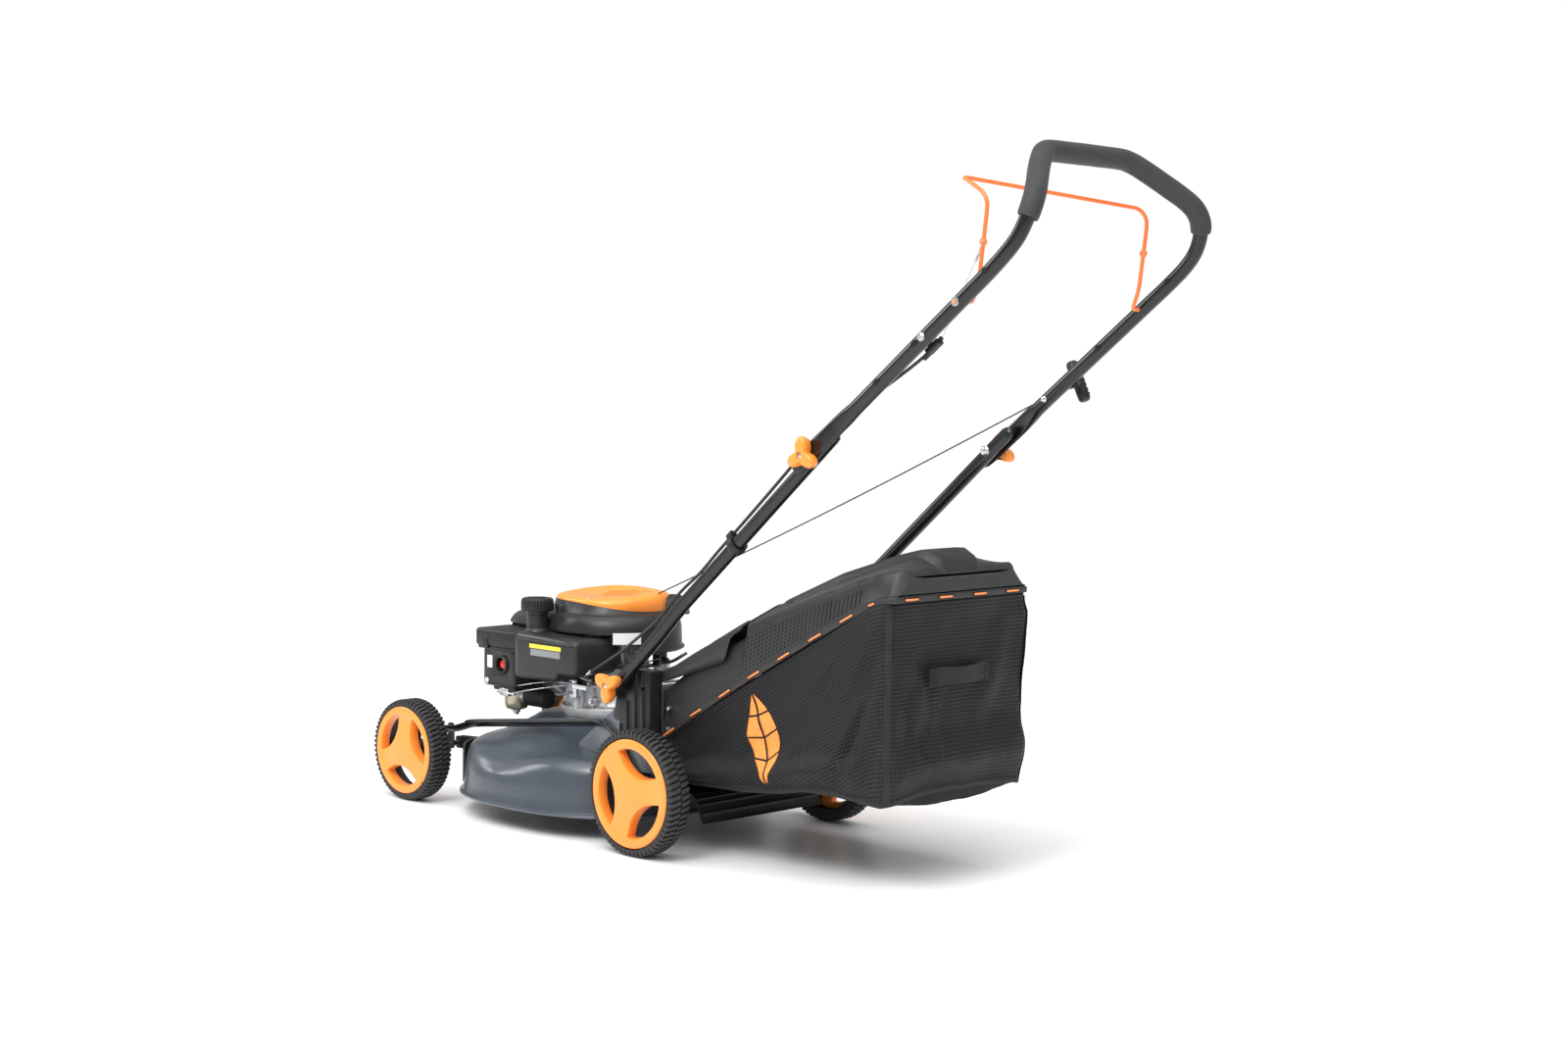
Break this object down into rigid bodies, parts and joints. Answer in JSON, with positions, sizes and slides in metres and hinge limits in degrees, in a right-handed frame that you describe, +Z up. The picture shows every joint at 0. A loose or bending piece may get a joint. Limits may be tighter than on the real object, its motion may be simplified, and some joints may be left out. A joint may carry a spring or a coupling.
{
  "type": "push lawn mower",
  "caption": "Petrol walk-behind rotary mower with steel deck, folding tube handle, bail lever, recoil starter and rear mesh grass bag.",
  "frame": {"origin": "on the ground, at the centre of the machine's footprint", "axes": "+Y direction of travel, +X the operator's right when walking forwards, +Z up"},
  "size_m": [0.5144, 1.4991, 1.1068],
  "materials": {
    "deck_paint": "satin slate-grey powder paint on pressed steel",
    "tube_paint": "glossy black paint on steel tube and bar",
    "black_plastic": "moulded black plastic, fine grain",
    "lid_plastic": "moulded dark grey plastic, satin",
    "orange_plastic": "light orange moulded plastic, satin gloss",
    "orange_paint": "orange paint on steel wire",
    "tyre_rubber": "matt black treaded tyre on a black hub",
    "grip_foam": "dark grey foam sleeve",
    "cast_aluminium": "sand-cast aluminium, satin",
    "zinc_steel": "zinc-plated steel",
    "dark_steel": "dark phosphated steel",
    "bag_fabric": "black woven polyester mesh",
    "primer_rubber": "translucent red rubber",
    "cable_sheath": "black plastic cable sheath",
    "muffler_metal": "heat-darkened sheet metal"
  },
  "bodies": {
    "root": {"deck": "deck_paint", "grass_comb": "black_plastic", "handle_bracket_left": "black_plastic", "handle_bracket_right": "black_plastic", "engine_crankcase": "cast_aluminium", "engine_cylinder": "cast_aluminium", "spark_plug": "black_plastic", "muffler": "muffler_metal", "engine_shroud": "black_plastic", "recoil_cover": "orange_plastic", "fuel_tank": "black_plastic", "air_filter_box": "black_plastic", "carburettor": "cast_aluminium", "intake_boot": "black_plastic", "height_spring": "zinc_steel", "flap_rod": "zinc_steel", "starter_rope": "cable_sheath", "stop_cable_engine": "cable_sheath"},
    "blade_drive": {"crankshaft": "zinc_steel", "flywheel": "cast_aluminium", "blade_hub": "dark_steel", "cutting_blade": "dark_steel", "blade_bolt": "zinc_steel"},
    "recoil_pulley": {"recoil_pulley": "black_plastic"},
    "wheel_front_left": {"wheel_front_left": "tyre_rubber", "wheel_cover_front_left": "orange_plastic"},
    "wheel_front_right": {"wheel_front_right": "tyre_rubber", "wheel_cover_front_right": "orange_plastic"},
    "wheel_rear_left": {"wheel_rear_left": "tyre_rubber", "wheel_cover_rear_left": "orange_plastic"},
    "wheel_rear_right": {"wheel_rear_right": "tyre_rubber", "wheel_cover_rear_right": "orange_plastic"},
    "front_axle": {"front_axle": "dark_steel"},
    "rear_axle": {"rear_axle": "dark_steel"},
    "height_link": {"height_link": "tube_paint"},
    "trailing_shield": {"trailing_shield": "black_plastic"},
    "rear_flap": {"rear_flap": "black_plastic"},
    "grass_bag": {"bag_lid": "lid_plastic", "bag_fabric": "bag_fabric", "bag_frame_rod": "orange_paint", "bag_strap": "bag_fabric"},
    "lower_handle": {"lower_handle_left": "tube_paint", "lower_handle_right": "tube_paint", "cable_clip": "black_plastic", "stop_cable_lower": "cable_sheath"},
    "upper_handle": {"upper_handle": "tube_paint", "foam_grip": "grip_foam", "cable_bracket": "black_plastic", "stop_cable_upper": "cable_sheath", "bail_wire": "zinc_steel", "rope_guide": "zinc_steel"},
    "lower_knob_left": {"lower_knob_left": "orange_plastic"},
    "lower_knob_right": {"lower_knob_right": "orange_plastic"},
    "upper_knob_left": {"upper_knob_left": "orange_plastic"},
    "upper_knob_right": {"upper_knob_right": "orange_plastic"},
    "bail": {"bail_bar": "orange_paint"},
    "starter_grip": {"starter_grip": "black_plastic"},
    "fuel_cap": {"fuel_cap": "black_plastic"},
    "oil_dipstick": {"oil_dipstick": "black_plastic"},
    "primer_bulb": {"primer_bulb": "primer_rubber"}
  },
  "joints": [
    {"name": "blade_spin", "type": "hinge", "parent": "root", "child": "blade_drive", "pos_m": [0, 0.332, 0.2], "axis": [0, 0, 1], "continuous": true},
    {"name": "height_adjust", "type": "hinge", "parent": "root", "child": "front_axle", "pos_m": [0, 0.6115, 0.101], "axis": [1, 0, 0], "range_deg": [-40, 10]},
    {"name": "rear_axle_turn", "type": "hinge", "parent": "root", "child": "rear_axle", "pos_m": [0, 0.07, 0.112], "axis": [1, 0, 0], "range_deg": [-10, 40]},
    {"name": "height_link_turn", "type": "hinge", "parent": "front_axle", "child": "height_link", "pos_m": [-0.1665, 0.6115, 0.131], "axis": [1, 0, 0], "range_deg": [-10.5, 39]},
    {"name": "front_left_roll", "type": "hinge", "parent": "front_axle", "child": "wheel_front_left", "pos_m": [-0.1945, 0.6595, 0.0905], "axis": [1, 0, 0], "continuous": true},
    {"name": "front_right_roll", "type": "hinge", "parent": "front_axle", "child": "wheel_front_right", "pos_m": [0.1945, 0.6595, 0.0905], "axis": [1, 0, 0], "continuous": true},
    {"name": "rear_left_roll", "type": "hinge", "parent": "rear_axle", "child": "wheel_rear_left", "pos_m": [-0.2235, 0.022, 0.1015], "axis": [1, 0, 0], "continuous": true},
    {"name": "rear_right_roll", "type": "hinge", "parent": "rear_axle", "child": "wheel_rear_right", "pos_m": [0.2235, 0.022, 0.1015], "axis": [1, 0, 0], "continuous": true},
    {"name": "trailing_shield_swing", "type": "hinge", "parent": "root", "child": "trailing_shield", "pos_m": [0, 0.07, 0.112], "axis": [1, 0, 0], "range_deg": [-10, 0]},
    {"name": "rear_flap_lift", "type": "hinge", "parent": "root", "child": "rear_flap", "pos_m": [0, 0.05, 0.281], "axis": [1, 0, 0], "range_deg": [-40, 0], "stiffness_Nm_per_rad": 0.3, "springref_deg": 20.05},
    {"name": "bag_withdraw", "type": "slide", "parent": "root", "child": "grass_bag", "axis": [0, -1, 0], "range_m": [0, 0.25]},
    {"name": "handle_fold", "type": "hinge", "parent": "root", "child": "lower_handle", "pos_m": [0, 0.098, 0.2653], "axis": [1, 0, 0], "range_deg": [-115, 0], "deforming": ["starter_rope", "stop_cable_engine"]},
    {"name": "upper_handle_fold", "type": "hinge", "parent": "lower_handle", "child": "upper_handle", "pos_m": [0, -0.338, 0.6532], "axis": [1, 0, 0], "range_deg": [0, 150], "deforming": ["stop_cable_upper"]},
    {"name": "lower_left_knob_turn", "type": "hinge", "parent": "root", "child": "lower_knob_left", "pos_m": [-0.22, 0.098, 0.2653], "axis": [1, 0, 0], "range_deg": [0, 360]},
    {"name": "lower_right_knob_turn", "type": "hinge", "parent": "root", "child": "lower_knob_right", "pos_m": [0.22, 0.098, 0.2653], "axis": [1, 0, 0], "range_deg": [0, 360]},
    {"name": "upper_left_knob_turn", "type": "hinge", "parent": "lower_handle", "child": "upper_knob_left", "pos_m": [-0.23, -0.338, 0.6532], "axis": [1, 0, 0], "range_deg": [0, 360]},
    {"name": "upper_right_knob_turn", "type": "hinge", "parent": "lower_handle", "child": "upper_knob_right", "pos_m": [0.23, -0.338, 0.6532], "axis": [1, 0, 0], "range_deg": [0, 360]},
    {"name": "bail_squeeze", "type": "hinge", "parent": "upper_handle", "child": "bail", "pos_m": [0, -0.623, 0.8767], "axis": [1, 0, 0], "range_deg": [0, 28], "stiffness_Nm_per_rad": 1.2, "springref_deg": -28.65, "deforming": ["bail_wire"]},
    {"name": "starter_pull", "type": "slide", "parent": "upper_handle", "child": "starter_grip", "axis": [0.2502, -0.861, 0.4428], "range_m": [0, 0.45], "stiffness_N_per_m": 20, "springref_m": -0.3},
    {"name": "recoil_pulley_turn", "type": "hinge", "parent": "root", "child": "recoil_pulley", "pos_m": [0, 0.332, 0.366], "axis": [0, 0, 1], "range_deg": [0, 580]},
    {"name": "fuel_cap_turn", "type": "hinge", "parent": "root", "child": "fuel_cap", "pos_m": [-0.12, 0.402, 0.3665], "axis": [0, 0, 1], "range_deg": [0, 110]},
    {"name": "dipstick_turn", "type": "hinge", "parent": "root", "child": "oil_dipstick", "pos_m": [0.06, 0.278, 0.2743], "axis": [0, 0, 1], "range_deg": [0, 180]},
    {"name": "primer_press", "type": "slide", "parent": "root", "child": "primer_bulb", "axis": [1, 0, 0], "range_m": [0, 0.005], "stiffness_N_per_m": 900, "springref_m": -0.002}
  ],
  "couplings": [
    {"joint": "rear_axle_turn", "follows": "height_adjust", "ratio": -1},
    {"joint": "height_link_turn", "follows": "height_adjust", "ratio": -0.963},
    {"joint": "upper_handle_fold", "follows": "handle_fold", "ratio": -1.3043},
    {"joint": "recoil_pulley_turn", "follows": "starter_pull", "rad_per_m": 22.2}
  ]
}
